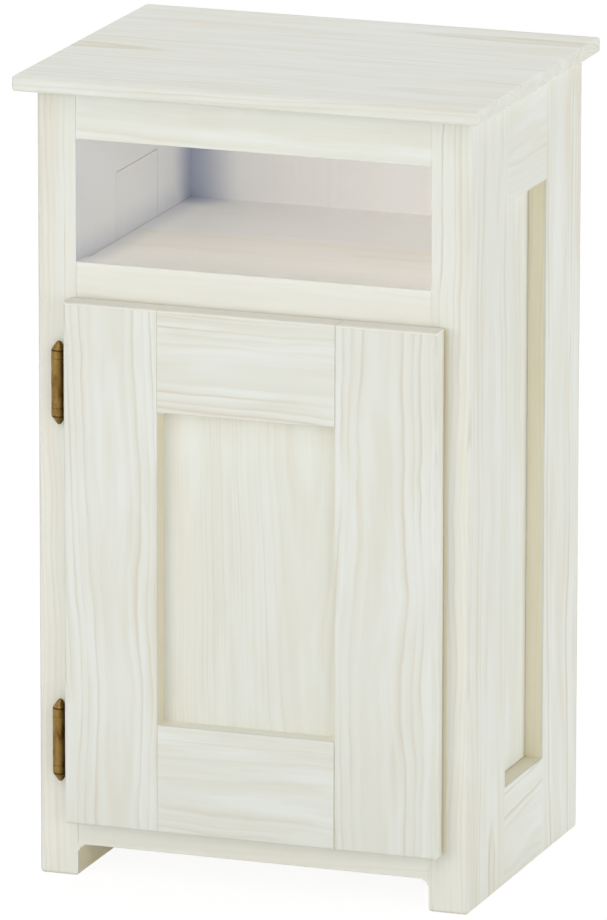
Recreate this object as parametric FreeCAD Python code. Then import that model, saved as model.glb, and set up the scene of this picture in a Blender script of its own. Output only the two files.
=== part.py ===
import FreeCAD, Part
import math
import os

V = FreeCAD.Vector

# A tall pine side table: an open compartment above a cupboard with one hinged door.
# Millimetres, +Z up, +X to the right of a person facing the door, the door faces -Y.
# The origin is on the floor, under the middle of the top.

# Overall sizes
height = 760.0
top_width = 450.0
top_depth = 350.0
top_thickness = 14.5
top_edge_radius = 3.0
top_board_count = 3
overhang_side = 15.0
overhang_front = 25.0
overhang_back = 7.0

# Side frames: posts that run down as legs, rails between them and a panel set back from outside
frame_thickness = 38.0
front_post_depth = 104.0
rear_post_depth = 104.0
side_top_rail_height = 98.5
side_bottom_rail_height = 94.0
side_panel_thickness = 20.5
panel_tongue_thickness = 8.0
panel_groove_depth = 10.0
panel_gap = 0.6
side_tenon_thickness = 12.0
side_tenon_length = 30.0
tenon_shoulder = 8.0
glue_gap = 1.0
edge_ease = 4.0
arris_ease = 0.8

# Front and rear rails
front_rail_thickness = 24.0
front_tenon_thickness = 8.0
rail_tenon_length = 18.0
front_top_rail_height = 45.5
open_compartment_height = 115.0
middle_rail_height = 43.0
bottom_rail_height = 37.0
bottom_rail_cove = 5.0
cove_land = 1.2
ground_gap = 31.0
rear_rail_thickness = 20.0
rear_rail_height = 44.0

# Back panel in rebates of the rear posts
back_panel_thickness = 12.0
back_panel_inset = 2.0
back_rebate_width = 10.0
back_panel_gap = 0.5

# Shelf under the open compartment, cupboard floor and the cleats that carry them
board_thickness = 16.0
board_count = 2
board_end_gap = 0.5
shelf_lip = 2.5
cleat_width = 18.0
cleat_height = 18.0

# Door, laid over the front frame
door_thickness = 22.0
door_gap = 2.4
overlay_hinge_side = 4.0
overlay_closing_side = 14.0
overlay_top = 10.0
overlay_bottom = 11.0
hinge_stile_width = 92.0
closing_stile_width = 98.0
door_top_rail_height = 96.5
door_bottom_rail_height = 103.0
door_panel_thickness = 3.6
door_panel_recess = 18.0
door_rebate_width = 10.0
door_tenon_thickness = 8.0
door_tenon_length = 30.0
door_tenon_shoulder = 12.0
door_edge_radius = 3.0
door_inner_ease = 1.5

# Hinges: the frame leaf wraps the inner corner of the post
hinge_length = 61.0
hinge_end_knuckle = 7.0
hinge_setback = 14.1
barrel_radius = 7.2
barrel_gap = 0.3
knuckle_gap = 0.3
leaf_thickness = 1.1
frame_leaf_depth = 26.0
door_leaf_reach = 36.0
leaf_corner_radius = 3.0
pin_radius = 2.8
pin_fit = 0.05
pin_spigot = 5.0
tip_height = 9.0
tip_radius = 6.9
tip_nose_radius = 2.8
tip_neck_radius = 5.8
tip_neck_height = 1.2
upper_hinge_inset = 80.0
lower_hinge_inset = 75.0
hinge_screw_spacing = 40.0

# Magnetic catch on the closing post and its strike on the door
catch_height = 30.0
catch_width = 14.0
catch_depth = 22.0
catch_wall = 2.0
catch_ear = 9.0
catch_ear_thickness = 2.5
catch_inset = 60.0
catch_setback = 1.0
pole_thickness = 1.6
pole_stand_out = 2.1
strike_height = 48.0
strike_width = 12.0
strike_thickness = 1.0

# Felt bumpers on the back of the closing stile
bumper_radius = 4.0
bumper_clearance = 0.1
bumper_inset = 40.0

# Screws and nails
hole_clearance = 0.15
small_screw_radius = 1.6
small_screw_length = 14.0
small_head_radius = 3.1
small_head_height = 1.3
cleat_screw_radius = 2.0
cleat_screw_length = 30.0
board_screw_length = 26.0
cleat_head_radius = 4.0
cleat_head_height = 2.2
top_screw_radius = 2.3
top_screw_length = 36.0
top_screw_bite = 10.0
top_head_radius = 4.6
top_head_height = 2.6
top_screw_inset = 70.0
counterbore_clearance = 1.2
nail_radius = 0.9
nail_length = 24.0
nail_head_radius = 2.0
nail_head_height = 0.8
nail_rows = 4

# Shares
screw_tip_share = 0.25
head_crown_share = 0.65
leaf_screw_share = 0.6
cleat_screw_shares = (0.22, 0.78)

# One overrun serves every cut, and one tolerance finds edges by their place
overrun = 5.0
near = 0.001

# Places worked out from the sizes
carcass_top = height - top_thickness
side_outer = top_width / 2 - overhang_side
side_inner = side_outer - frame_thickness
front = -top_depth / 2 + overhang_front
back = top_depth / 2 - overhang_back
front_post_back = front + front_post_depth
rear_post_front = back - rear_post_depth
side_opening_bottom = side_bottom_rail_height
side_opening_top = carcass_top - side_top_rail_height
panel_outer = side_inner + side_panel_thickness
tongue_inner = side_inner + (side_panel_thickness - panel_tongue_thickness) / 2
tongue_outer = tongue_inner + panel_tongue_thickness
compartment_top = carcass_top - front_top_rail_height
compartment_bottom = compartment_top - open_compartment_height
cupboard_top = compartment_bottom - middle_rail_height
cupboard_bottom = ground_gap + bottom_rail_height
front_rail_back = front + front_rail_thickness
back_panel_back = back - back_panel_inset
back_panel_front = back_panel_back - back_panel_thickness
rear_rail_front = back_panel_front - rear_rail_thickness
shelf_top = compartment_bottom - shelf_lip
shelf_bottom = shelf_top - board_thickness
floor_top = cupboard_bottom
floor_bottom = floor_top - board_thickness

door_back = front - door_gap
door_front = door_back - door_thickness
door_left = -side_inner - overlay_hinge_side
door_right = side_inner + overlay_closing_side
door_bottom = cupboard_bottom - overlay_bottom
door_top = cupboard_top + overlay_top
door_panel_left = door_left + hinge_stile_width
door_panel_right = door_right - closing_stile_width
door_panel_bottom = door_bottom + door_bottom_rail_height
door_panel_top = door_top - door_top_rail_height
door_panel_front = door_front + door_panel_recess
door_panel_back = door_panel_front + door_panel_thickness

hinge_x = -side_inner - hinge_setback
hinge_y = front - barrel_gap - barrel_radius
hinge_heights = {
    "upper": door_top - upper_hinge_inset,
    "lower": door_bottom + lower_hinge_inset,
}
door_leaf_end = door_left + door_leaf_reach

# Post names with the side they stand on: -1 is left, 1 is right
SIDES = {"left": -1, "right": 1}


def block(x0, x1, y0, y1, z0, z1):
    """A box between two corners, whichever order the x values come in."""
    low, high = min(x0, x1), max(x0, x1)
    return Part.makeBox(high - low, y1 - y0, z1 - z0, V(low, y0, z0))


def edges_at(shape, **place):
    """The edges whose ends all lie at the given coordinates."""
    return [edge for edge in shape.Edges
            if all(abs(getattr(vertex.Point, axis) - value) < near
                   for vertex in edge.Vertexes for axis, value in place.items())]


def eased(shape, radius, *places):
    """The shape with the edges at the given places rounded."""
    edges = [edge for place in places for edge in edges_at(shape, **place)]
    return shape.makeFillet(radius, edges)


def prism(points, z0, z1):
    """An outline in plan, drawn up from z0 to z1."""
    corners = [V(x, y, z0) for x, y in points]
    return Part.Face(Part.makePolygon(corners + corners[:1])).extrude(V(0, 0, z1 - z0))


def rod(radius, start, direction, length):
    return Part.makeCylinder(radius, length, start, direction)


def spun(points, start, direction):
    """A profile of (radius, height) points turned about its axis, set at start along direction."""
    corners = [V(radius, 0, along) for radius, along in points]
    face = Part.Face(Part.makePolygon(corners + corners[:1]))
    solid = face.revolve(V(0, 0, 0), V(0, 0, 1), 360)
    turn = FreeCAD.Rotation(V(0, 0, 1), direction)
    solid.Placement = FreeCAD.Placement(start, turn)
    return solid


def fastener(start, direction, radius, length, head_radius, head_height):
    """A screw or nail whose head seats at start, with a crowned head and a pointed end."""
    crown = head_radius * head_crown_share
    tip = length * (1 - screw_tip_share)
    return spun([(0, -head_height), (crown, -head_height), (head_radius, -head_height / 2), (head_radius, 0),
                 (radius, 0), (radius, tip), (0, length)], start, direction)


def hole(start, direction, radius, length):
    """A hole for a fastener, drilled a little wide and a little deep."""
    depth = length + glue_gap
    return rod(radius + hole_clearance, start, direction, depth)


def save(name, *solids):
    shape = solids[0] if len(solids) == 1 else Part.makeCompound(list(solids))
    shape.exportStep("parts/" + name + ".step")


# Fasteners: each entry is where the head seats, the way it points and its sizes
INTO = {"left": V(-1, 0, 0), "right": V(1, 0, 0)}
UP = V(0, 0, 1)
FORWARD = V(0, -1, 0)


def hinge_frame_screw_seats():
    """On the wrapped flange of each frame leaf, into the left post."""
    y = front + frame_leaf_depth * leaf_screw_share
    return [V(-side_inner + leaf_thickness, y, middle + step * hinge_screw_spacing / 2)
            for middle in hinge_heights.values() for step in (-1, 1)]


def hinge_door_screw_seats():
    """On each door leaf, into the back of the hinge stile."""
    x = door_left + door_leaf_reach * leaf_screw_share
    return [V(x, door_back + leaf_thickness, middle + step * hinge_screw_spacing / 2)
            for middle in hinge_heights.values() for step in (-1, 1)]


def cleat_wall_screw_seats(side):
    """Through each cleat of one side into the front and rear posts."""
    x = SIDES[side] * (side_inner - cleat_width)
    tenon_end = side_tenon_length + glue_gap
    posts = ((front_rail_back + front_post_back - tenon_end) / 2,
             (rear_post_front + tenon_end + rear_rail_front) / 2)
    return [V(x, y, under - cleat_height / 2) for under in (shelf_bottom, floor_bottom) for y in posts]


def cleat_board_screw_seats(side):
    """Up through each cleat of one side into the boards that it carries."""
    x = SIDES[side] * (side_inner - cleat_width / 2)
    run = rear_rail_front - front_rail_back
    return [V(x, front_rail_back + share * run, under - cleat_height)
            for under in (shelf_bottom, floor_bottom) for share in cleat_screw_shares]


def top_screw_seats():
    """In counterbores under the front and rear top rails."""
    seat = carcass_top + top_screw_bite - top_screw_length
    rows = (front + front_rail_thickness / 2, rear_rail_front + rear_rail_thickness / 2)
    return [V(step * (side_inner - top_screw_inset), y, seat) for y in rows for step in (-1, 1)]


def nail_seats():
    """Down both edges of the back panel, into the rebates of the rear posts."""
    x = side_inner + back_rebate_width / 2
    pitch = (carcass_top - ground_gap) / nail_rows
    return [V(step * x, back_panel_back, ground_gap + pitch * (row + 1 / 2))
            for row in range(nail_rows) for step in (-1, 1)]


def catch_middle():
    return cupboard_top - catch_inset


def catch_screw_seats():
    """On the two ears of the catch, into the right post."""
    y = front + catch_setback + catch_depth / 2
    reach = catch_height / 2 + catch_ear / 2
    return [V(side_inner - catch_ear_thickness, y, catch_middle() + step * reach) for step in (-1, 1)]


def strike_screw_seats():
    """Above and below the poles, into the back of the closing stile."""
    x = side_inner - catch_width / 2
    reach = strike_height / 2 - small_head_radius
    return [V(x, door_back + strike_thickness, catch_middle() + step * reach) for step in (-1, 1)]


SMALL = (small_screw_radius, small_screw_length)
SMALL_HEAD = (small_head_radius, small_head_height)


def holes(seats, direction, radius, length):
    return [hole(seat, direction, radius, length) for seat in seats]


# Joints between rails and posts
def front_rail_spans():
    return {
        "front_top_rail": (compartment_top, carcass_top),
        "front_middle_rail": (cupboard_top, compartment_bottom),
        "front_bottom_rail": (ground_gap, cupboard_bottom),
    }


def rear_rail_spans():
    return {
        "rear_top_rail": (carcass_top - rear_rail_height, carcass_top),
        "rear_bottom_rail": (ground_gap, cupboard_bottom),
    }


def cross_tenons(y0, thickness, z0, z1, end_gap):
    """The two tenons of a rail that runs from side to side, or with an end gap their mortises."""
    middle = y0 + thickness / 2
    reach = side_inner + rail_tenon_length + end_gap
    return [block(sign * side_inner, sign * reach,
                  middle - front_tenon_thickness / 2, middle + front_tenon_thickness / 2,
                  z0 + tenon_shoulder, z1 - tenon_shoulder) for sign in SIDES.values()]


def side_rail_spans():
    """Each side rail with the height of its tenon, which leaves room for the panel groove."""
    return {
        "top_rail": (side_opening_top, carcass_top,
                     side_opening_top + panel_groove_depth, carcass_top - tenon_shoulder),
        "bottom_rail": (0, side_opening_bottom,
                        tenon_shoulder, side_opening_bottom - panel_groove_depth),
    }


def side_tenon(sign, tenon_z0, tenon_z1, end_gap):
    middle = (side_inner + side_outer) / 2
    reach = side_tenon_length + end_gap
    return block(sign * (middle - side_tenon_thickness / 2), sign * (middle + side_tenon_thickness / 2),
                 front_post_back - reach, rear_post_front + reach, tenon_z0, tenon_z1)


def panel_groove(sign):
    """The groove that runs round the opening of a side frame."""
    return block(sign * tongue_inner, sign * tongue_outer,
                 front_post_back - panel_groove_depth, rear_post_front + panel_groove_depth,
                 side_opening_bottom - panel_groove_depth, side_opening_top + panel_groove_depth)


def post_cuts(side):
    """Every mortise, groove and pilot hole that the posts of one side may hold."""
    sign = SIDES[side]
    cuts = [panel_groove(sign)]
    for z0, z1, tenon_z0, tenon_z1 in side_rail_spans().values():
        cuts.append(side_tenon(sign, tenon_z0, tenon_z1, glue_gap))
    for z0, z1 in front_rail_spans().values():
        cuts.extend(cross_tenons(front, front_rail_thickness, z0, z1, glue_gap))
    for z0, z1 in rear_rail_spans().values():
        cuts.extend(cross_tenons(rear_rail_front, rear_rail_thickness, z0, z1, glue_gap))
    cuts.extend(holes(cleat_wall_screw_seats(side), INTO[side], cleat_screw_radius, cleat_screw_length))
    if side == "left":
        cuts.extend(holes(hinge_frame_screw_seats(), INTO[side], *SMALL))
    else:
        cuts.extend(holes(catch_screw_seats(), INTO[side], *SMALL))
    return cuts


def front_post(side):
    sign = SIDES[side]
    outer, inner = sign * side_outer, sign * side_inner
    body = block(inner, outer, front, front_post_back, 0, carcass_top)
    body = eased(body, edge_ease, dict(x=outer, y=front), dict(z=0, y=front), dict(z=0, x=outer),
                 dict(z=0, x=inner))
    return body.cut(post_cuts(side))


def rear_post(side):
    sign = SIDES[side]
    outer, inner = sign * side_outer, sign * side_inner
    body = block(inner, outer, rear_post_front, back, 0, carcass_top)
    body = eased(body, edge_ease, dict(x=outer, y=back), dict(z=0, y=back), dict(z=0, x=outer),
                 dict(z=0, x=inner))
    rebate = block(sign * (side_inner - overrun), sign * (side_inner + back_rebate_width),
                   back_panel_front, back + overrun, ground_gap, carcass_top + overrun)
    nails = holes(nail_seats(), FORWARD, nail_radius, nail_length)
    return body.cut([rebate] + nails + post_cuts(side))


def side_rail(side, name):
    sign = SIDES[side]
    z0, z1, tenon_z0, tenon_z1 = side_rail_spans()[name]
    outer, inner = sign * side_outer, sign * side_inner
    body = block(inner, outer, front_post_back, rear_post_front, z0, z1)
    opening_edge = side_opening_bottom if name == "bottom_rail" else side_opening_top
    body = eased(body, arris_ease, dict(x=outer, z=opening_edge))
    if name == "bottom_rail":
        body = eased(body, edge_ease, dict(z=0, x=outer), dict(z=0, x=inner))
    body = body.cut(panel_groove(sign))
    return body.fuse(side_tenon(sign, tenon_z0, tenon_z1, 0)).removeSplitter()


def side_panel(side):
    """A flat panel with a tongue all round, flush with the frame inside and set back outside."""
    sign = SIDES[side]
    body = block(sign * side_inner, sign * panel_outer,
                 front_post_back + panel_gap, rear_post_front - panel_gap,
                 side_opening_bottom + panel_gap, side_opening_top - panel_gap)
    reach = panel_groove_depth - panel_gap
    tongue = block(sign * tongue_inner, sign * tongue_outer,
                   front_post_back - reach, rear_post_front + reach,
                   side_opening_bottom - reach, side_opening_top + reach)
    return body.fuse(tongue).removeSplitter()


def front_rail(name):
    z0, z1 = front_rail_spans()[name]
    body = block(-side_inner, side_inner, front, front_rail_back, z0, z1)
    eases = [dict(y=front, z=z0), dict(y=front, x=-side_inner), dict(y=front, x=side_inner)]
    if name != "front_top_rail":
        eases.append(dict(y=front, z=z1))
    body = eased(body, arris_ease, *eases)
    body = body.fuse(cross_tenons(front, front_rail_thickness, z0, z1, 0)).removeSplitter()
    if name == "front_top_rail":
        body = body.cut(top_screw_cuts())
    if name == "front_bottom_rail":
        body = body.fuse(rail_ears()).removeSplitter()
    return body


def rail_ears():
    """The ears at both ends of the bottom rail, each coved where it turns down along the leg."""
    reach = bottom_rail_cove + cove_land
    ears = []
    for sign in SIDES.values():
        corner = V(sign * (side_inner - reach), front - overrun, ground_gap - reach)
        ear = block(sign * side_inner, corner.x, front, front_rail_back,
                    corner.z, ground_gap + arris_ease)
        ears.append(ear.cut(rod(bottom_rail_cove, corner, V(0, 1, 0), front_rail_thickness + 2 * overrun)))
    return ears


def rear_rail(name):
    z0, z1 = rear_rail_spans()[name]
    body = block(-side_inner, side_inner, rear_rail_front, back_panel_front, z0, z1)
    body = body.fuse(cross_tenons(rear_rail_front, rear_rail_thickness, z0, z1, 0)).removeSplitter()
    if name == "rear_top_rail":
        body = body.cut(top_screw_cuts())
    return body


def top_screw_cuts():
    """Holes for the top screws and the counterbores that their heads sit in."""
    cuts = holes(top_screw_seats(), UP, top_screw_radius, top_screw_length)
    for seat in top_screw_seats():
        cuts.append(rod(top_head_radius + counterbore_clearance, seat, V(0, 0, -1), front_top_rail_height))
    return cuts


def back_panel():
    reach = side_inner + back_rebate_width - back_panel_gap
    body = block(-reach, reach, back_panel_front, back_panel_back, ground_gap, carcass_top)
    return body.cut(holes(nail_seats(), FORWARD, nail_radius, nail_length))


def glued_boards(panel, y0, y1, count):
    """A wide panel as the boards that it is glued up from, front to back."""
    width = (y1 - y0) / count
    lowest, highest = panel.BoundBox.ZMin - overrun, panel.BoundBox.ZMax + overrun
    reach = panel.BoundBox.XLength + overrun
    return [panel.common(block(-reach, reach, y0 + k * width, y0 + (k + 1) * width, lowest, highest))
            for k in range(count)]


def top_boards():
    half = top_width / 2
    slab = block(-half, half, -top_depth / 2, top_depth / 2, carcass_top, height)
    slab = slab.makeFillet(top_edge_radius, slab.Edges)
    slab = slab.cut(holes(top_screw_seats(), UP, top_screw_radius, top_screw_length))
    return glued_boards(slab, -top_depth / 2, top_depth / 2, top_board_count)


def inner_boards(level, y1):
    """The boards of the shelf or the cupboard floor, between the side frames."""
    reach = side_inner - board_end_gap
    slab = block(-reach, reach, front_rail_back, y1, level - board_thickness, level)
    for side in SIDES:
        slab = slab.cut(holes(cleat_board_screw_seats(side), UP, cleat_screw_radius, board_screw_length))
    return glued_boards(slab, front_rail_back, y1, board_count)


def cleat(side, under, y1):
    sign = SIDES[side]
    inner = sign * (side_inner - cleat_width)
    body = block(sign * side_inner, inner, front_rail_back, y1, under - cleat_height, under)
    body = eased(body, edge_ease, dict(x=inner, z=under - cleat_height))
    return body.cut(holes(cleat_wall_screw_seats(side), INTO[side], cleat_screw_radius, cleat_screw_length)
                    + holes(cleat_board_screw_seats(side), UP, cleat_screw_radius, board_screw_length))


# The door: stiles the full height, rails between them on tenons, a panel in a rebate at the back
def door_rebate():
    return block(door_panel_left - door_rebate_width, door_panel_right + door_rebate_width,
                 door_panel_front, door_back + overrun,
                 door_panel_bottom - door_rebate_width, door_panel_top + door_rebate_width)


def door_rail_spans():
    return {
        "door_top_rail": (door_panel_top, door_top),
        "door_bottom_rail": (door_bottom, door_panel_bottom),
    }


def door_tenon(z0, z1, end_gap):
    reach = door_tenon_length + end_gap
    middle = (door_front + door_panel_front) / 2
    return block(door_panel_left - reach, door_panel_right + reach,
                 middle - door_tenon_thickness / 2, middle + door_tenon_thickness / 2,
                 z0 + door_tenon_shoulder, z1 - door_tenon_shoulder)


def door_stile(name):
    if name == "door_hinge_stile":
        outer, inner = door_left, door_panel_left
    else:
        outer, inner = door_right, door_panel_right
    body = block(outer, inner, door_front, door_back, door_bottom, door_top)
    body = eased(body, door_edge_radius, dict(x=outer, y=door_front), dict(x=outer, y=door_back),
                 dict(y=door_front, z=door_top), dict(y=door_front, z=door_bottom))
    body = eased(body, door_inner_ease, dict(x=inner, y=door_front))
    cuts = [door_rebate()] + [door_tenon(z0, z1, glue_gap) for z0, z1 in door_rail_spans().values()]
    if name == "door_hinge_stile":
        cuts.extend(holes(hinge_door_screw_seats(), FORWARD, *SMALL))
    else:
        cuts.extend(holes(strike_screw_seats(), FORWARD, *SMALL))
    return body.cut(cuts)


def door_rail(name):
    z0, z1 = door_rail_spans()[name]
    body = block(door_panel_left, door_panel_right, door_front, door_back, z0, z1)
    outer_edge = door_top if name == "door_top_rail" else door_bottom
    panel_edge = door_panel_top if name == "door_top_rail" else door_panel_bottom
    body = eased(body, door_edge_radius, dict(y=door_front, z=outer_edge))
    body = eased(body, door_inner_ease, dict(y=door_front, z=panel_edge))
    return body.fuse(door_tenon(z0, z1, 0)).removeSplitter().cut(door_rebate())


def door_panel():
    reach = door_rebate_width - panel_gap
    return block(door_panel_left - reach, door_panel_right + reach, door_panel_front, door_panel_back,
                 door_panel_bottom - reach, door_panel_top + reach)


# Hinges: knuckles in a row on a pin, the door's knuckle between the frame's two
def knuckle_span(middle):
    """Ends of the hinge, and of its middle knuckle between the two end knuckles."""
    z0, z3 = middle - hinge_length / 2, middle + hinge_length / 2
    return z0, z0 + hinge_end_knuckle, z3 - hinge_end_knuckle, z3


def knuckle(z0, z1):
    return rod(barrel_radius, V(hinge_x, hinge_y, z0), UP, z1 - z0)


def pin_bore(middle):
    z0, z1, z2, z3 = knuckle_span(middle)
    return rod(pin_radius + pin_fit, V(hinge_x, hinge_y, z0 - overrun), UP, z3 - z0 + 2 * overrun)


def knuckle_room(z0, z1):
    """The room that a turning knuckle takes from the leaf beside it."""
    reach = barrel_radius + knuckle_gap
    return block(hinge_x - reach, hinge_x + reach, hinge_y - reach, front + overrun, z0, z1)


def frame_leaf(middle):
    z0, z1, z2, z3 = knuckle_span(middle)
    flange = -side_inner + leaf_thickness
    outline = [(hinge_x, front - leaf_thickness), (flange, front - leaf_thickness),
               (flange, front + frame_leaf_depth), (-side_inner, front + frame_leaf_depth),
               (-side_inner, front), (hinge_x, front)]
    leaf = prism(outline, z0, z3)
    leaf = eased(leaf, leaf_thickness * head_crown_share, dict(x=flange, y=front - leaf_thickness))
    leaf = eased(leaf, leaf_corner_radius, dict(y=front + frame_leaf_depth, z=z0),
                 dict(y=front + frame_leaf_depth, z=z3))
    leaf = leaf.cut(knuckle_room(z1, z2))
    leaf = leaf.fuse([knuckle(z0, z1), knuckle(z2, z3)]).removeSplitter()
    return leaf.cut([pin_bore(middle)] + holes(hinge_frame_screw_seats(), INTO["left"], *SMALL))


def door_leaf(middle):
    z0, z1, z2, z3 = knuckle_span(middle)
    leaf = block(hinge_x, door_leaf_end, door_back, door_back + leaf_thickness, z0, z3)
    leaf = eased(leaf, leaf_corner_radius, dict(x=door_leaf_end, z=z0), dict(x=door_leaf_end, z=z3))
    leaf = leaf.cut([knuckle_room(z0 - overrun, z1 + knuckle_gap),
                     knuckle_room(z2 - knuckle_gap, z3 + overrun)])
    leaf = leaf.fuse(knuckle(z1 + knuckle_gap, z2 - knuckle_gap)).removeSplitter()
    return leaf.cut([pin_bore(middle)] + holes(hinge_door_screw_seats(), FORWARD, *SMALL))


def finial_face():
    """Half profile of a finial above its seat: a neck, a shoulder and a straight taper to a round nose."""
    centre = tip_height - tip_nose_radius
    taper = centre - tip_neck_height
    slant = math.hypot(tip_radius, taper)
    tangent = math.acos(tip_nose_radius / slant) - math.atan2(taper, tip_radius)
    halfway = (tangent + math.pi / 2) / 2
    foot, neck = V(tip_neck_radius, 0, 0), V(tip_neck_radius, 0, tip_neck_height)
    shoulder, crest = V(tip_radius, 0, tip_neck_height), V(0, 0, tip_height)
    touch, middle = [V(tip_nose_radius * math.cos(angle), 0, centre + tip_nose_radius * math.sin(angle))
                     for angle in (tangent, halfway)]
    edges = [Part.makeLine(V(0, 0, 0), foot), Part.makeLine(foot, neck), Part.makeLine(neck, shoulder),
             Part.makeLine(shoulder, touch), Part.Arc(touch, middle, crest).toShape(),
             Part.makeLine(crest, V(0, 0, 0))]
    return Part.Face(Part.Wire(edges))


def finial(seat, direction):
    solid = finial_face().revolve(V(0, 0, 0), UP, 360)
    solid.Placement = FreeCAD.Placement(seat, FreeCAD.Rotation(UP, direction))
    return solid


def hinge_pin(middle):
    """The pin with its head finial; its lower end reaches into the separate lower tip."""
    z0, z1, z2, z3 = knuckle_span(middle)
    shaft = rod(pin_radius, V(hinge_x, hinge_y, z0 - pin_spigot), UP, z3 - z0 + pin_spigot + tip_neck_height)
    return shaft.fuse(finial(V(hinge_x, hinge_y, z3), UP)).removeSplitter()


def hinge_tip(middle):
    z0 = knuckle_span(middle)[0]
    floor = V(hinge_x, hinge_y, z0 - pin_spigot - pin_fit)
    socket = rod(pin_radius + pin_fit, floor, UP, pin_spigot + overrun)
    return finial(V(hinge_x, hinge_y, z0), V(0, 0, -1)).cut(socket)


# Magnetic catch: a housing open to the front, a magnet between two pole plates
def catch_pocket():
    """Inside of the housing, open towards the door."""
    middle = catch_middle()
    half = catch_height / 2 - catch_wall
    return (side_inner - catch_width + catch_wall, side_inner - catch_wall,
            front + catch_setback, front + catch_setback + catch_depth - catch_wall,
            middle - half, middle + half)


def catch_housing():
    middle = catch_middle()
    y0 = front + catch_setback
    y1 = y0 + catch_depth
    inner = side_inner - catch_width
    half = catch_height / 2
    body = block(inner, side_inner, y0, y1, middle - half, middle + half)
    body = eased(body, arris_ease, dict(x=inner, y=y0), dict(x=inner, y=y1))
    reach = half + catch_ear
    ears = block(side_inner - catch_ear_thickness, side_inner, y0, y1, middle - reach, middle + reach)
    x0, x1, pocket_y0, pocket_y1, z0, z1 = catch_pocket()
    pocket = block(x0, x1, pocket_y0 - overrun, pocket_y1, z0, z1)
    body = body.fuse(ears).removeSplitter().cut(pocket)
    return body.cut(holes(catch_screw_seats(), INTO["right"], *SMALL))


def catch_poles():
    x0, x1, y0, y1, z0, z1 = catch_pocket()
    return [block(x0, x0 + pole_thickness, y0 - pole_stand_out, y1, z0, z1),
            block(x1 - pole_thickness, x1, y0 - pole_stand_out, y1, z0, z1)]


def catch_magnet():
    x0, x1, y0, y1, z0, z1 = catch_pocket()
    return block(x0 + pole_thickness, x1 - pole_thickness, y0, y1, z0, z1)


def strike_plate():
    x = side_inner - catch_width / 2
    middle = catch_middle()
    body = block(x - strike_width / 2, x + strike_width / 2, door_back, door_back + strike_thickness,
                 middle - strike_height / 2, middle + strike_height / 2)
    return body.cut(holes(strike_screw_seats(), FORWARD, *SMALL))


def bumpers():
    x = (side_inner + door_right - door_edge_radius) / 2
    thickness = door_gap - bumper_clearance
    return [rod(bumper_radius, V(x, door_back, z), V(0, 1, 0), thickness)
            for z in (door_bottom + bumper_inset, door_top - bumper_inset)]


def fasteners(seats, direction, size, head):
    return [fastener(seat, direction, *size, *head) for seat in seats]


def save_carcass():
    for side in SIDES:
        save(side + "_front_post", front_post(side))
        save(side + "_rear_post", rear_post(side))
        save(side + "_panel", side_panel(side))
        for name in side_rail_spans():
            save(side + "_" + name, side_rail(side, name))
        save(side + "_shelf_cleat", cleat(side, shelf_bottom, back_panel_front))
        save(side + "_floor_cleat", cleat(side, floor_bottom, rear_rail_front))
    for name in front_rail_spans():
        save(name, front_rail(name))
    for name in rear_rail_spans():
        save(name, rear_rail(name))
    save("back_panel", back_panel())
    for place, board in zip(("front", "middle", "rear"), top_boards()):
        save("top_board_" + place, board)
    for place, board in zip(("front", "rear"), inner_boards(shelf_top, back_panel_front)):
        save("shelf_board_" + place, board)
    for place, board in zip(("front", "rear"), inner_boards(floor_top, rear_rail_front)):
        save("floor_board_" + place, board)


def save_door():
    save("door_hinge_stile", door_stile("door_hinge_stile"))
    save("door_closing_stile", door_stile("door_closing_stile"))
    for name in door_rail_spans():
        save(name, door_rail(name))
    save("door_panel", door_panel())
    save("door_bumpers", *bumpers())
    save("strike_plate", strike_plate())


def save_hardware():
    for name, middle in hinge_heights.items():
        save(name + "_hinge_frame_leaf", frame_leaf(middle))
        save(name + "_hinge_door_leaf", door_leaf(middle))
        save(name + "_hinge_pin", hinge_pin(middle))
        save(name + "_hinge_lower_tip", hinge_tip(middle))
    save("catch_housing", catch_housing())
    save("catch_pole_plates", *catch_poles())
    save("catch_magnet", catch_magnet())


def save_fasteners():
    cleat_head = (cleat_head_radius, cleat_head_height)
    wall_screws = [screw for side in SIDES for screw in fasteners(
        cleat_wall_screw_seats(side), INTO[side], (cleat_screw_radius, cleat_screw_length), cleat_head)]
    board_screws = [screw for side in SIDES for screw in fasteners(
        cleat_board_screw_seats(side), UP, (cleat_screw_radius, board_screw_length), cleat_head)]
    save("cleat_wall_screws", *wall_screws)
    save("cleat_board_screws", *board_screws)
    save("top_screws", *fasteners(top_screw_seats(), UP, (top_screw_radius, top_screw_length),
                                  (top_head_radius, top_head_height)))
    save("back_panel_nails", *fasteners(nail_seats(), FORWARD, (nail_radius, nail_length),
                                        (nail_head_radius, nail_head_height)))
    save("hinge_frame_screws", *fasteners(hinge_frame_screw_seats(), INTO["left"], SMALL, SMALL_HEAD))
    save("hinge_door_screws", *fasteners(hinge_door_screw_seats(), FORWARD, SMALL, SMALL_HEAD))
    save("catch_screws", *fasteners(catch_screw_seats(), INTO["right"], SMALL, SMALL_HEAD))
    save("strike_screws", *fasteners(strike_screw_seats(), FORWARD, SMALL, SMALL_HEAD))


os.makedirs("parts", exist_ok=True)
save_carcass()
save_door()
save_hardware()
save_fasteners()
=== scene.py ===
import math
import random

import bpy
from mathutils import Euler, Matrix, Vector


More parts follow.
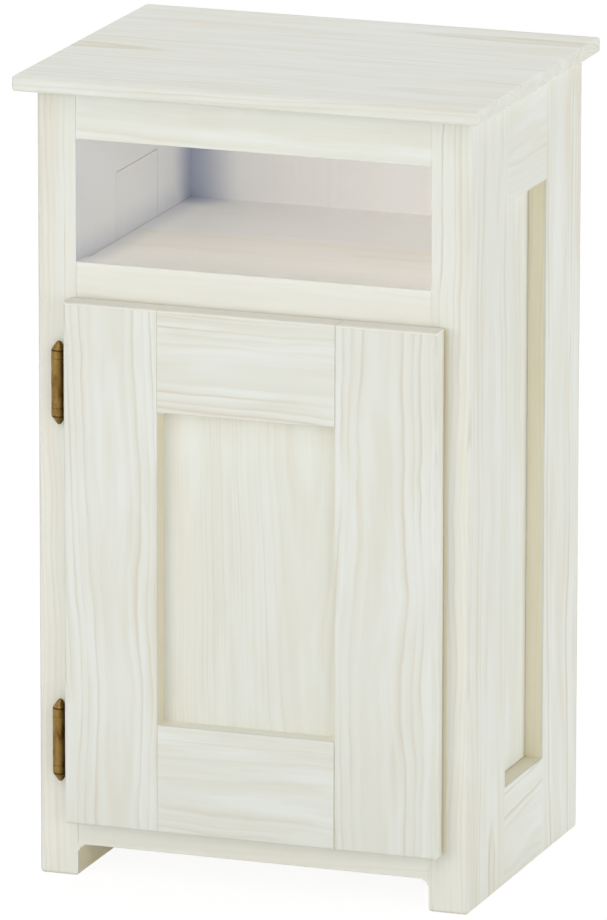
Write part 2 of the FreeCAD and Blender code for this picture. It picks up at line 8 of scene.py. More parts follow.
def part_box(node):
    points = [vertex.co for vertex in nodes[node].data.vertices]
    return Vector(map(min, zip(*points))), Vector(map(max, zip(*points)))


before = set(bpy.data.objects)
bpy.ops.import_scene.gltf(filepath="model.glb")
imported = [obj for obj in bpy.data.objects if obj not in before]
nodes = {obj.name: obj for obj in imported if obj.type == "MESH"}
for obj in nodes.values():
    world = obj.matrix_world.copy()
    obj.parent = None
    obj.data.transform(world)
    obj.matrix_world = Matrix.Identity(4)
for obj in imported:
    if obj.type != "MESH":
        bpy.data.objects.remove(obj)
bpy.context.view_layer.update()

# A white-washed pine side table with an open compartment over a cupboard.
# Metres, +Z up, the door faces -Y, the origin is on the floor under the middle of the top.

MM = 0.001
RANDOM_SEED = 7
IMAGE_WIDTH, IMAGE_HEIGHT = 607, 920

# Camera, fitted to the outline of the object in the photograph, with its angles in radians
CAMERA_AZIMUTH = 0.343630
CAMERA_ELEVATION = 0.244775
CAMERA_ROLL = 0.001589
CAMERA_DISTANCE = 9.9743
CAMERA_TARGET = Vector((-0.00783, 0.010, 0.37455))
CAMERA_SIGHT = 100
FOCAL_PIXELS = 10745.8
SENSOR_WIDTH = 36.0

# Light. Lamp angles are in degrees, and a lamp's level is the share of its written colour that a face
# turned to it shows
SKY_COLOUR = (0.97, 0.98, 1.0, 1)
SKY_STRENGTH = 0.12
SKY_WHITE = (1, 1, 1, 1)
LIGHT_BOUNCES = 24
LAMP_TARGET = Vector((0, 0, 0.42))
LAMPS = {
    "key_left": dict(azimuth=-30, elevation=9, distance=7.0, size=4.4, level=0.30, colour=(1, 0.99, 0.97)),
    "key_right": dict(azimuth=8, elevation=9, distance=7.0, size=4.8, level=0.10, colour=(1, 0.99, 0.97)),
    "corner_fill": dict(azimuth=45, elevation=8, distance=7.0, size=4.0, level=0.19, colour=(1, 1, 0.99)),
    "side_fill": dict(azimuth=105, elevation=10, distance=6.4, size=4.0, level=0.44, colour=(0.99, 1, 1)),
    "high_fill": dict(azimuth=-5, elevation=44, distance=6.8, size=4.8, level=0.25, colour=(1, 1, 1)),
    "top_fill": dict(azimuth=195, elevation=64, distance=6.4, size=4.8, level=0.54, colour=(1, 1, 1)),
}
FLOOR_SIZE = 30.0
FLOOR_WHITE = (0.9, 0.9, 0.9, 1)
FLOOR_ROUGHNESS = 0.9
FLOOR_GLOW_SHARE = 0.85
FLOOR_GLOW = 1.08


def srgb(red, green, blue):
    """A colour written in 0 to 255 display values, as linear values."""
    def linear(value):
        share = value / 255
        return share / 12.92 if share <= 0.04045 else ((share + 0.055) / 1.055) ** 2.4
    return linear(red), linear(green), linear(blue), 1


# Colours of the pine, as they look in plain light, with painted shade for its creases and recesses and painted
# light for its shaded places
WASH_WHITE = srgb(230, 233, 227)
PINE_CREAM = srgb(225, 226, 217)
PINE_STREAK = srgb(213, 208, 192)
PINE_WARM = srgb(221, 216, 201)
# Painted shade: the darker, yellower colour of the creases
PINE_CREASE_SHADE = srgb(224, 213, 186)
# Painted light: a paler colour for places that get less light
PINE_PAINTED_LIGHT = srgb(241, 239, 229)
# Painted shade: a warmer, darker tint for recesses where shade falls
SHELTER_SHADE_TINT = (1.0, 0.95, 0.82)
# The plainer, whiter coat in the open compartment, partly painted light that lifts the shade inside it; the dim
# left wall and the dark corner are painted shade
INSIDE_WHITE = srgb(252, 252, 251)
INSIDE_CREAM = srgb(252, 251, 250)
INSIDE_STREAK = srgb(243, 234, 220)
INSIDE_WARM = srgb(253, 250, 243)
INSIDE_WALL_SHADE = srgb(236, 237, 240)
INSIDE_SHADE = srgb(184, 190, 207)
PLAIN_GRAIN = 0.15

# How fine each noise of the pine is, along the log and across it, per metre
DRIFT_GRAIN = (4.0, 9.0, 9.0)
RIPPLE_GRAIN = (18.0, 30.0, 30.0)
COVER_GRAIN = (6.0, 45.0, 45.0)
FIBRE_GRAIN = (9.0, 900.0, 900.0)
WASH_GRAIN = (7.0, 60.0, 60.0)
TONE_GRAIN = (4.0, 32.0, 32.0)
RIPPLE_SHARE = 0.22
LOG_START = (2, 40)
# How unevenly the years follow each other, in rings
PACE_RATE = 0.45
PACE_SHIFT = 1.6
# One year's ring: where its colour starts, where its late line starts and peaks, and how much each adds
BROAD_START, LINE_START, LINE_PEAK = 0.20, 0.52, 0.80
BROAD_DEPTH, LINE_DEPTH = 0.40, 0.60
FAINT_YEAR, STRONG_YEAR = 0.15, 1.1
# Where the wash covers the rings, and where it lies white on the early wood
COVER_SPAN, COVERED = (0.38, 0.62), 0.3
WASH_SPAN = (0.42, 0.70)
EARLY_END, EARLY_WASH = 0.4, 0.3
TONE_SPAN, TONE_SHARE = (0.42, 0.72), 0.5
FIBRE_SPAN, FIBRE_SHADES = (0.3, 0.7), (0.985, 1.012)
# Painted shade in the creases of the pine, and its sheen and relief
CREASE_SHADE_REACH, CREASE_SHADE_SPAN = 0.012, (0.6, 0.1)
PINE_ROUGHNESS = (0.52, 0.66)
PINE_SPECULAR = 0.3
FIBRE_RELIEF = 0.6
PINE_BUMP, PINE_BUMP_HEIGHT = 0.25, 0.0002

# Places where light and shade are painted, and the open compartment with its own coat, are boxes in the frame,
# which reach a skin past the faces that they take in, or stay off a round edge
SKIN = 0.0004
ROUND_EDGE = 0.002
CLOSE_BY = 0.003
# The dim corner of the open compartment, and the weaker shade along the end of its shelf
CORNER_REACH = 0.055
EDGE_REACH = 0.030
EDGE_SHADE = 0.35
# How strongly light is painted in such places, and the height over which it fades towards the top of a post
RECESS_LIGHT = 0.6
FULL_LIGHT = 1.0
LEFT_POST_LIGHT, RIGHT_POST_LIGHT = 0.45, 0.35
RAIL_LIGHT = 0.45
POST_FADE = 0.35


def side_recess(side):
    """The space in front of a side panel, between its posts and rails."""
    panel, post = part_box(side + "_panel"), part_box(side + "_front_post")
    rear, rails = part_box(side + "_rear_post"), [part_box(side + end) for end in ("_bottom_rail", "_top_rail")]
    if side == "left":
        across = post[0].x + ROUND_EDGE, panel[0].x - SKIN
    else:
        across = panel[1].x + SKIN, post[1].x - ROUND_EDGE
    return across, (post[1].y - SKIN, rear[0].y + SKIN), (rails[0][1].z - SKIN, rails[1][0].z + SKIN)


def door_opening(below):
    """The opening in front of the door's panel, with or without the ledge below it."""
    hinge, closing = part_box("door_hinge_stile"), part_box("door_closing_stile")
    return ((hinge[1].x - SKIN, closing[0].x + SKIN),
            (hinge[0].y + ROUND_EDGE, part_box("door_panel")[0].y - SKIN),
            (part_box("door_bottom_rail")[1].z - below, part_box("door_top_rail")[0].z + SKIN))


def door_gap():
    """The front of the post close by the door's closing edge."""
    low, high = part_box("door_closing_stile")
    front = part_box("right_front_post")[0].y
    return (high.x - CLOSE_BY, high.x + CLOSE_BY), (front - SKIN, front + SKIN), (low.z, high.z)


def post_front(side):
    """The front of a leg post, up to the top."""
    low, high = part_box(side + "_front_post")
    return (low.x, high.x), (low.y - SKIN, low.y + SKIN), (0.0, high.z)


def rail_front(name):
    """The front of a rail between the posts."""
    low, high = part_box(name)
    return ((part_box("left_front_post")[1].x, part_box("right_front_post")[0].x), (low.y - SKIN, low.y + SKIN),
            (low.z, high.z))


def leg_recess():
    """The space between the legs under the rails."""
    return ((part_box("left_front_post")[1].x - SKIN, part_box("right_front_post")[0].x + SKIN),
            (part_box("front_top_rail")[0].y + ROUND_EDGE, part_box("back_panel")[1].y),
            (0.0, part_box("floor_board_front")[0].z))


def door_ledge():
    """The top of the door, where light is painted in."""
    low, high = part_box("door_hinge_stile")
    return ((low.x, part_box("door_closing_stile")[1].x), (low.y, high.y - ROUND_EDGE),
            (high.z - ROUND_EDGE, high.z + SKIN))


def inside_space():
    """Inside the open compartment, where the coat is plainer and whiter, partly as painted light that lifts the
    shade there.
    """
    return ((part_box("left_front_post")[1].x - SKIN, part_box("right_front_post")[0].x + SKIN),
            (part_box("front_top_rail")[0].y + SKIN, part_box("back_panel")[0].y + SKIN),
            (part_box("shelf_board_front")[1].z - SKIN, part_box("top_board_front")[0].z + SKIN))


# Small helpers for node trees
def add_node(tree, kind, **settings):
    made = tree.nodes.new(kind)
    for name, value in settings.items():
        setattr(made, name, value)
    return made


def feed(tree, socket, value):
    """Sets a socket to a constant, or links it to another node's output."""
    if isinstance(value, bpy.types.NodeSocket):
        tree.links.new(value, socket)
    else:
        socket.default_value = value


def maths(tree, operation, *values, clamp=False):
    made = add_node(tree, "ShaderNodeMath", operation=operation, use_clamp=clamp)
    for socket, value in zip(made.inputs, values):
        feed(tree, socket, value)
    return made.outputs[0]


def vectors(tree, operation, *values):
    made = add_node(tree, "ShaderNodeVectorMath", operation=operation)
    for socket, value in zip(made.inputs, values):
        feed(tree, socket, value)
    return made.outputs["Value" if operation == "LENGTH" else "Vector"]


def scaled(tree, vector, amount):
    made = add_node(tree, "ShaderNodeVectorMath", operation="SCALE")
    feed(tree, made.inputs["Vector"], vector)
    feed(tree, made.inputs["Scale"], amount)
    return made.outputs["Vector"]


def mixed(tree, share, first, second):
    made = add_node(tree, "ShaderNodeMix", data_type="RGBA")
    feed(tree, made.inputs["Factor"], share)
    feed(tree, made.inputs["A"], first)
    feed(tree, made.inputs["B"], second)
    return made.outputs["Result"]


def ranged(tree, value, low, high, to_low=0.0, to_high=1.0, smooth=True):
    """A value carried from one range to another, held at its ends."""
    made = add_node(tree, "ShaderNodeMapRange", interpolation_type="SMOOTHSTEP" if smooth else "LINEAR")
    feed(tree, made.inputs["Value"], value)
    feed(tree, made.inputs["From Min"], low)
    feed(tree, made.inputs["From Max"], high)
    feed(tree, made.inputs["To Min"], to_low)
    feed(tree, made.inputs["To Max"], to_high)
    return made.outputs["Result"]


def noise(tree, place, stretch, detail=2.0, roughness=0.5):
    """Noise on a place that is first stretched along each axis."""
    made = add_node(tree, "ShaderNodeTexNoise", noise_dimensions="3D")
    feed(tree, made.inputs["Vector"], vectors(tree, "MULTIPLY", place, stretch))
    feed(tree, made.inputs["Scale"], 1.0)
    feed(tree, made.inputs["Detail"], detail)
    feed(tree, made.inputs["Roughness"], roughness)
    return made


def occlusion(tree, reach, samples):
    """How open a place is to what lies within reach, 1 in the open and 0 deep in a crease."""
    made = add_node(tree, "ShaderNodeAmbientOcclusion", samples=samples, only_local=False)
    feed(tree, made.inputs["Distance"], reach)
    return made.outputs["AO"]


def bumped(tree, shader, height, strength, distance):
    made = add_node(tree, "ShaderNodeBump")
    feed(tree, made.inputs["Strength"], strength)
    feed(tree, made.inputs["Distance"], distance)
    feed(tree, made.inputs["Height"], height)
    feed(tree, shader.inputs["Normal"], made.outputs["Normal"])


def seen_directly(tree):
    """1 for what the camera sees, also in a mirror or through glass, and 0 for the light that it gives."""
    rays = add_node(tree, "ShaderNodeLightPath").outputs
    seen = maths(tree, "MAXIMUM", rays["Is Camera Ray"], rays["Is Glossy Ray"])
    return maths(tree, "MAXIMUM", seen, rays["Is Transmission Ray"])


def blended(tree, share, first, second, output):
    """Leads a blend of two shaders to the named output node."""
    made = add_node(tree, "ShaderNodeMixShader")
    for socket, value in zip(made.inputs, (share, first, second)):
        feed(tree, socket, value)
    feed(tree, tree.nodes[output].inputs["Surface"], made.outputs["Shader"])


def new_material(name):
    material = bpy.data.materials.new(name)
    material.use_nodes = True
    tree = material.node_tree
    return material, tree, tree.nodes["Principled BSDF"]


def new_group(name, inputs, outputs):
    """An empty node group with its sockets, given as names and kinds."""
    tree = bpy.data.node_groups.new(name, "ShaderNodeTree")
    for way, sockets in (("INPUT", inputs), ("OUTPUT", outputs)):
        for socket, kind in sockets.items():
            tree.interface.new_socket(socket, in_out=way, socket_type=kind)
    return tree, add_node(tree, "NodeGroupInput").outputs, add_node(tree, "NodeGroupOutput").inputs


VECTOR, FLOAT = "NodeSocketVector", "NodeSocketFloat"


# Pine: growth rings round a pith line that runs beside each board, cut by the board's own faces
def pine_group():
    """Takes a place in log coordinates, X along the pith, and gives the streaks, fibre and wash there."""
    tree, given, result = new_group("pine_rings", {"Place": VECTOR, "Ring": FLOAT, "Wander": VECTOR},
                                    {"Streak": FLOAT, "Fibre": FLOAT, "Wash": FLOAT, "Tone": FLOAT})

    def swing(grain):
        """Noise that shifts a place to either side."""
        shift = noise(tree, given["Place"], grain, detail=1.0).outputs["Color"]
        return vectors(tree, "SUBTRACT", shift, (0.5, 0.5, 0.5))

    drift = vectors(tree, "ADD", swing(DRIFT_GRAIN), scaled(tree, swing(RIPPLE_GRAIN), RIPPLE_SHARE))
    place = vectors(tree, "ADD", given["Place"], vectors(tree, "MULTIPLY", drift, given["Wander"]))

    across = vectors(tree, "MULTIPLY", place, (0.0, 1.0, 1.0))
    radius = vectors(tree, "LENGTH", across)
    rings = maths(tree, "DIVIDE", radius, given["Ring"])
    pace = add_node(tree, "ShaderNodeTexNoise", noise_dimensions="1D")
    feed(tree, pace.inputs["W"], maths(tree, "MULTIPLY", rings, PACE_RATE))
    feed(tree, pace.inputs["Scale"], 1.0)
    feed(tree, pace.inputs["Detail"], 1.0)
    rings = maths(tree, "ADD", rings, maths(tree, "MULTIPLY", pace.outputs["Fac"], PACE_SHIFT))
    phase = maths(tree, "FRACT", rings)
    broad = ranged(tree, phase, BROAD_START, LINE_PEAK, 0.0, BROAD_DEPTH)
    line = ranged(tree, phase, LINE_START, LINE_PEAK, 0.0, LINE_DEPTH)
    fall = ranged(tree, phase, LINE_PEAK, 1.0, 1.0, 0.0)
    year = add_node(tree, "ShaderNodeTexWhiteNoise", noise_dimensions="1D")
    feed(tree, year.inputs["W"], maths(tree, "FLOOR", rings))
    strength = ranged(tree, year.outputs["Value"], 0.0, 1.0, FAINT_YEAR, STRONG_YEAR, smooth=False)
    cover = noise(tree, place, COVER_GRAIN).outputs["Fac"]
    strength = maths(tree, "MULTIPLY", strength, ranged(tree, cover, *COVER_SPAN, 1.0, COVERED))
    streak = maths(tree, "MULTIPLY", maths(tree, "ADD", broad, line), maths(tree, "MULTIPLY", fall, strength))
    feed(tree, result["Streak"], streak)

    feed(tree, result["Fibre"], noise(tree, place, FIBRE_GRAIN).outputs["Fac"])
    wash = noise(tree, place, WASH_GRAIN).outputs["Fac"]
    early = ranged(tree, phase, 0.0, EARLY_END, EARLY_WASH, 0.0)
    feed(tree, result["Wash"], maths(tree, "ADD", ranged(tree, wash, *WASH_SPAN), early, clamp=True))
    tone = noise(tree, given["Place"], TONE_GRAIN, detail=3.0).outputs["Fac"]
    feed(tree, result["Tone"], ranged(tree, tone, *TONE_SPAN))
    return tree


def space_group(name, boxes):
    """The largest share among the boxes that a place is in, and 0 outside them. Each box is its spans, its
    share and the height over which the share fades towards the box's top, or 0."""
    tree, given, result = new_group(name, {"Place": VECTOR}, {"Share": FLOAT})
    place = add_node(tree, "ShaderNodeSeparateXYZ")
    feed(tree, place.inputs["Vector"], given["Place"])
    total = 0.0
    for spans, share, fade in boxes:
        for axis, (low, high) in zip("XYZ", spans):
            above = maths(tree, "GREATER_THAN", place.outputs[axis], low)
            below = maths(tree, "LESS_THAN", place.outputs[axis], high)
            share = maths(tree, "MULTIPLY", share, maths(tree, "MULTIPLY", above, below))
        if fade:
            top = spans[2][1]
            fading = ranged(tree, place.outputs["Z"], top - fade, top, 1.0, 0.0)
            share = maths(tree, "MULTIPLY", share, fading)
        total = maths(tree, "MAXIMUM", total, share)
    feed(tree, result["Share"], total)
    return tree


def corner_group():
    """How far a place in the open compartment lies in the dim corner at its back, or by the shelf's end."""
    tree, given, result = new_group("dim_corners", {"Place": VECTOR}, {"Share": FLOAT})
    place = add_node(tree, "ShaderNodeSeparateXYZ")
    feed(tree, place.inputs["Vector"], given["Place"])

    def gap(x, other):
        made = add_node(tree, "ShaderNodeCombineXYZ")
        feed(tree, made.inputs["X"], x)
        feed(tree, made.inputs["Y"], other)
        return vectors(tree, "LENGTH", made.outputs["Vector"])

    wall = maths(tree, "SUBTRACT", place.outputs["X"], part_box("left_front_post")[1].x)
    back = maths(tree, "SUBTRACT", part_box("back_panel")[0].y, place.outputs["Y"])
    shelf = maths(tree, "SUBTRACT", place.outputs["Z"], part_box("shelf_board_front")[1].z)
    corner = ranged(tree, gap(wall, back), 0.0, CORNER_REACH, 1.0, 0.0)
    edge = ranged(tree, gap(wall, shelf), 0.0, EDGE_REACH, EDGE_SHADE, 0.0)
    feed(tree, result["Share"], maths(tree, "MAXIMUM", corner, edge))
    return tree


# Turns that bring a board's grain onto the X axis of the log
GRAIN_TURNS = {
    "X": Matrix.Identity(3),
    "Y": Matrix.Rotation(math.radians(-90), 3, "Z"),
    "Z": Matrix.Rotation(math.radians(90), 3, "Y"),
}
# The frame axes that become Y and Z of the log
FACING = {"X": (1, 2), "Y": (0, 2), "Z": (1, 0)}


def in_space(tree, place, space):
    group = add_node(tree, "ShaderNodeGroup", node_tree=space)
    feed(tree, group.inputs["Place"], place)
    return group.outputs["Share"]


def pine(name, axis, pith, lean=(0, 0), ring=4.5, wander=(5, 14), streak=0.8, white=0.85, crease=0.6,
         coat_and_light=(INSIDE_WHITE, PLAIN_GRAIN)):
    """White-washed pine for one board. The pith is in millimetres from the board's middle, the lean in degrees
    is how the log's axis departs from the board's, ring is the width of a year and wander how far the rings
    stray towards the pith and sideways, both in millimetres. Streak is how strong the grain is, white how
    strong its wash is, crease how strongly shade is painted, darker and yellower, into its creases, and the
    coat is the colour of its faces in the open compartment, whiter partly as painted light that lifts the shade
    there, and how much of the grain shows through it."""
    low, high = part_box(name)
    middle = (low + high) / 2
    turn = Euler((0, math.radians(lean[0]), math.radians(lean[1]))).to_matrix() @ GRAIN_TURNS[axis]
    origin = middle + Vector(pith) * MM
    along = Vector((random.uniform(*LOG_START), 0, 0))

    material, tree, shader = new_material("pine_" + name)
    place = add_node(tree, "ShaderNodeTexCoord").outputs["Object"]
    mapping = add_node(tree, "ShaderNodeMapping", vector_type="POINT")
    feed(tree, mapping.inputs["Vector"], place)
    mapping.inputs["Rotation"].default_value = turn.to_euler()
    mapping.inputs["Location"].default_value = along - turn @ origin
    group = add_node(tree, "ShaderNodeGroup", node_tree=PINE_RINGS)
    feed(tree, group.inputs["Place"], mapping.outputs["Vector"])
    group.inputs["Ring"].default_value = ring * MM
    radial, sideways = wander
    pith_y, pith_z = (abs(pith[index]) for index in FACING[axis])
    shift = (0, radial, sideways) if pith_y > pith_z else (0, sideways, radial)
    group.inputs["Wander"].default_value = Vector(shift) * MM
    rings = group.outputs

    strength = maths(tree, "MULTIPLY", rings["Streak"], streak)
    colour = mixed(tree, maths(tree, "MULTIPLY", rings["Tone"], TONE_SHARE * streak), PINE_CREAM, PINE_WARM)
    colour = mixed(tree, strength, colour, PINE_STREAK)
    clear = maths(tree, "SUBTRACT", 1.0, strength)
    wash = maths(tree, "MULTIPLY", rings["Wash"], clear)
    colour = mixed(tree, maths(tree, "MULTIPLY", wash, white), colour, WASH_WHITE)
    fine = ranged(tree, rings["Fibre"], *FIBRE_SPAN, *FIBRE_SHADES, smooth=False)
    colour = scaled(tree, colour, fine)

    # Painted shade: creases turn darker and yellower by how occluded they are
    crease_shade = ranged(tree, occlusion(tree, CREASE_SHADE_REACH, samples=3), *CREASE_SHADE_SPAN, 0.0, crease)
    colour = mixed(tree, crease_shade, colour, PINE_CREASE_SHADE)
    # Painted light: shaded places are made paler
    colour = mixed(tree, in_space(tree, place, PAINTED_LIGHT), colour, PINE_PAINTED_LIGHT)
    # Painted shade: recesses and the door gap are tinted warmer and darker
    shade_tinted = vectors(tree, "MULTIPLY", colour, SHELTER_SHADE_TINT)
    colour = mixed(tree, in_space(tree, place, SHELTERED_SHADE), colour, shade_tinted)
    # The compartment's coat, partly painted light, with painted shade in its dim corner
    coat_colour, coat_grain = coat_and_light
    inner = mixed(tree, maths(tree, "MULTIPLY", rings["Streak"], coat_grain), coat_colour, INSIDE_STREAK)
    inner = mixed(tree, in_space(tree, place, DIM_CORNERS), inner, INSIDE_SHADE)
    colour = mixed(tree, in_space(tree, place, INSIDE_SPACE), colour, inner)
    feed(tree, shader.inputs["Base Color"], colour)
    feed(tree, shader.inputs["Roughness"], ranged(tree, rings["Wash"], 0, 1, *PINE_ROUGHNESS, smooth=False))
    shader.inputs["Specular IOR Level"].default_value = PINE_SPECULAR
    relief = maths(tree, "ADD", rings["Streak"], maths(tree, "MULTIPLY", rings["Fibre"], FIBRE_RELIEF))
    bumped(tree, shader, relief, PINE_BUMP, PINE_BUMP_HEIGHT)
    return material


def paint(name, material):
    slots = nodes[name].data.materials
    slots.clear()
    slots.append(material)


# Every board: the axis of its grain, its pith, and what sets it apart
BOARDS = {
    "top_board_front": dict(axis="X", pith=(0, 10, -80), lean=(0.5, 0.3), streak=1.2),
    "top_board_middle": dict(axis="X", pith=(0, -20, -70), lean=(-0.5, 0.3), streak=1.2),
    "top_board_rear": dict(axis="X", pith=(0, 15, -60), lean=(0.5, -0.3), streak=1.2),
    "front_top_rail": dict(axis="X", pith=(0, 60, 6), lean=(0.2, 0.3), streak=0.5),
    "front_middle_rail": dict(axis="X", pith=(0, 60, -30), lean=(-0.2, 0.2), streak=0.5,
                              coat_and_light=(INSIDE_WARM, 0.5)),
    "front_bottom_rail": dict(axis="X", pith=(0, 55, 20), lean=(0.2, -0.3), streak=0.5),
    "rear_top_rail": dict(axis="X", pith=(0, -60, 8), lean=(0.2, 0.3)),
    "rear_bottom_rail": dict(axis="X", pith=(0, -50, 8), lean=(-0.2, 0.3)),
    "back_panel": dict(axis="Z", pith=(20, -190, 0), lean=(0.2, 0.3), coat_and_light=(INSIDE_CREAM, 0.3)),
    "shelf_board_front": dict(axis="X", pith=(0, 30, -60), lean=(0.3, 0.2), coat_and_light=(INSIDE_WARM, 0.8)),
    "shelf_board_rear": dict(axis="X", pith=(0, -20, -70), lean=(-0.3, 0.2), coat_and_light=(INSIDE_CREAM, 0.55)),
    "floor_board_front": dict(axis="X", pith=(0, 20, -60), lean=(0.3, 0.2)),
    "floor_board_rear": dict(axis="X", pith=(0, -30, -60), lean=(0.3, -0.2)),
    "door_hinge_stile": dict(axis="Z", pith=(2, 44.4, 0), lean=(0.1, 0.4), ring=4.6, wander=(6, 30)),
    "door_closing_stile": dict(axis="Z", pith=(-6, 46.4, 0), lean=(-0.2, -0.4), ring=4.8, wander=(6, 30)),
    "door_top_rail": dict(axis="X", pith=(0, 44.4, -6), lean=(0.2, 0.5), ring=4.6, wander=(6, 24),
                          streak=0.95),
    "door_bottom_rail": dict(axis="X", pith=(0, 46, -14), lean=(-0.3, 0.7), ring=4.6, wander=(6, 24),
                             streak=0.45, white=1.0),
    "door_panel": dict(axis="Z", pith=(52, 74, 0), lean=(0.3, 1.1), ring=3.4, wander=(5, 14),
                       streak=0.55, white=0.6, crease=0.15),
}
# The boards of both sides, with the pith of the right one; the left one's is its mirror image
SIDE_BOARDS = {
    "front_post": dict(axis="Z", pith=(-70, 10, 0), lean=(0.4, 0.5), streak=1.6, white=0.6, wander=(6, 26)),
    "rear_post": dict(axis="Z", pith=(-60, -10, 0), lean=(-0.4, 0.5), streak=1.5, wander=(6, 26)),
    "top_rail": dict(axis="Y", pith=(-60, 0, 20), lean=(0.6, 0.5)),
    "bottom_rail": dict(axis="Y", pith=(-50, 0, -10), lean=(0.6, 0.8), streak=1.2, wander=(6, 24)),
    "panel": dict(axis="Z", pith=(-60, 10, 0), lean=(0.3, 0.2), streak=0.5),
    "shelf_cleat": dict(axis="Y", pith=(0, 0, 60)),
    "floor_cleat": dict(axis="Y", pith=(0, 0, 60)),
}
# The left wall of the compartment gets a coat with painted shade
SIDE_COATS_AND_SHADE = {"left": INSIDE_WALL_SHADE, "right": INSIDE_WHITE}
SIDE_SIGNS = {"left": -1, "right": 1}

# Hardware
BRASS_BRIGHT = srgb(145, 118, 66)
BRASS_DARK = srgb(72, 50, 14)
ZINC_BRIGHT = srgb(196, 198, 200)
ZINC_DARK = srgb(140, 142, 146)
PLASTIC_WHITE = srgb(226, 222, 212)
PLASTIC_SHADE = srgb(214, 209, 198)
IRON_GREY = srgb(74, 74, 78)
IRON_DARK = srgb(48, 47, 48)
FELT_LIGHT = srgb(176, 168, 152)
FELT_DARK = srgb(142, 134, 120)
# Tarnish: how fine its clouds are, where they show and how dark they get
CLOUD_GRAIN = (160.0, 160.0, 60.0)
CLOUD_DETAIL, CLOUD_ROUGHNESS = 4.0, 0.6
CLOUD_SPAN, CLOUD_TARNISH = (0.4, 0.75), 0.6
METAL_CREASE_REACH, METAL_CREASE_SPAN = 0.005, (0.9, 0.3)
# How dark the painted shade on the hinge barrel's sheltered side gets
BARREL_SHADE_DEPTH = 0.9
# The sheltered side of the hinge barrel, where shade is painted, in shares of its width from its axis
BARREL_SHADE_SPAN = (-0.3, 0.7)
# Sheen and relief of the metals and of the speckled finishes
SHEEN_SPAN = (0.3, 0.7)
METAL_SHEEN = (-0.08, 0.12)
METAL_PITS = (900.0, 900.0, 500.0)
METAL_BUMP, METAL_BUMP_HEIGHT = 0.2, 0.0002
SPECKLE_DETAIL, SPECKLE_ROUGHNESS = 4.0, 0.65
SPECKLE_SPAN = (0.35, 0.65)
SPECKLE_SHEEN = (-0.06, 0.06)
SPECKLE_BUMP = 0.4


def metal(name, bright, dark, roughness, sheltered=None):
    """A metal that darkens with patina in its creases, with shade painted darker on its sheltered side, where
    the X span over which that begins is given."""
    material, tree, shader = new_material(name)
    place = add_node(tree, "ShaderNodeTexCoord").outputs["Object"]
    cloud = noise(tree, place, CLOUD_GRAIN, detail=CLOUD_DETAIL, roughness=CLOUD_ROUGHNESS).outputs["Fac"]
    hollow_tarnish_and_shade = ranged(tree, occlusion(tree, METAL_CREASE_REACH, samples=8), *METAL_CREASE_SPAN)
    # Painted shade darkens the barrel towards its sheltered side
    if sheltered:
        across = add_node(tree, "ShaderNodeSeparateXYZ")
        feed(tree, across.inputs["Vector"], place)
        shaded_behind = ranged(tree, across.outputs["X"], *sheltered, 0.0, BARREL_SHADE_DEPTH)
        hollow_tarnish_and_shade = maths(tree, "MAXIMUM", hollow_tarnish_and_shade, shaded_behind)
    clouded = ranged(tree, cloud, *CLOUD_SPAN, 0.0, CLOUD_TARNISH)
    tarnish_and_shade = maths(tree, "ADD", clouded, hollow_tarnish_and_shade, clamp=True)
    feed(tree, shader.inputs["Base Color"], mixed(tree, tarnish_and_shade, bright, dark))
    sheen = [roughness + change for change in METAL_SHEEN]
    feed(tree, shader.inputs["Roughness"], ranged(tree, cloud, *SHEEN_SPAN, *sheen))
    shader.inputs["Metallic"].default_value = 1.0
    bumped(tree, shader, noise(tree, place, METAL_PITS).outputs["Fac"], METAL_BUMP, METAL_BUMP_HEIGHT)
    return material


def speckled(name, first, second, scale, roughness, relief):
    """A plain finish with a fine two-tone speckle, for moulded plastic, sintered iron and felt."""
    material, tree, shader = new_material(name)
    place = add_node(tree, "ShaderNodeTexCoord").outputs["Object"]
    grain = noise(tree, place, (scale, scale, scale), detail=SPECKLE_DETAIL,
                  roughness=SPECKLE_ROUGHNESS).outputs["Fac"]
    feed(tree, shader.inputs["Base Color"], mixed(tree, ranged(tree, grain, *SPECKLE_SPAN), first, second))
    sheen = [roughness + change for change in SPECKLE_SHEEN]
    feed(tree, shader.inputs["Roughness"], ranged(tree, grain, *SHEEN_SPAN, *sheen))
    bumped(tree, shader, grain, SPECKLE_BUMP, relief)
    return material


def dress_hardware():
    barrel_low, barrel_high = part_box("upper_hinge_pin")
    axis, reach = (barrel_low.x + barrel_high.x) / 2, barrel_high.x - barrel_low.x
    sheltered = [axis + share * reach for share in BARREL_SHADE_SPAN]
    brass = metal("antique_brass", BRASS_BRIGHT, BRASS_DARK, roughness=0.42, sheltered=sheltered)
    zinc = metal("zinc_steel", ZINC_BRIGHT, ZINC_DARK, roughness=0.38)
    plastic = speckled("catch_plastic", PLASTIC_WHITE, PLASTIC_SHADE, scale=700.0, roughness=0.45,
                       relief=0.00008)
    iron = speckled("magnet_iron", IRON_GREY, IRON_DARK, scale=900.0, roughness=0.6, relief=0.00010)
    felt = speckled("felt", FELT_LIGHT, FELT_DARK, scale=1400.0, roughness=0.92, relief=0.0004)
    for name in nodes:
        if "hinge_" in name and "door_hinge_stile" not in name:
            paint(name, brass)
        elif name.endswith(("screws", "nails", "plate", "plates")):
            paint(name, zinc)
    paint("catch_housing", plastic)
    paint("catch_magnet", iron)
    paint("door_bumpers", felt)


def dress_boards():
    for name, facts in BOARDS.items():
        paint(name, pine(name, **facts))
    for side, sign in SIDE_SIGNS.items():
        for board, facts in SIDE_BOARDS.items():
            name = side + "_" + board
            x, y, z = facts["pith"]
            own = dict(facts, pith=(sign * x, y, z), coat_and_light=(SIDE_COATS_AND_SHADE[side], PLAIN_GRAIN))
            paint(name, pine(name, **own))


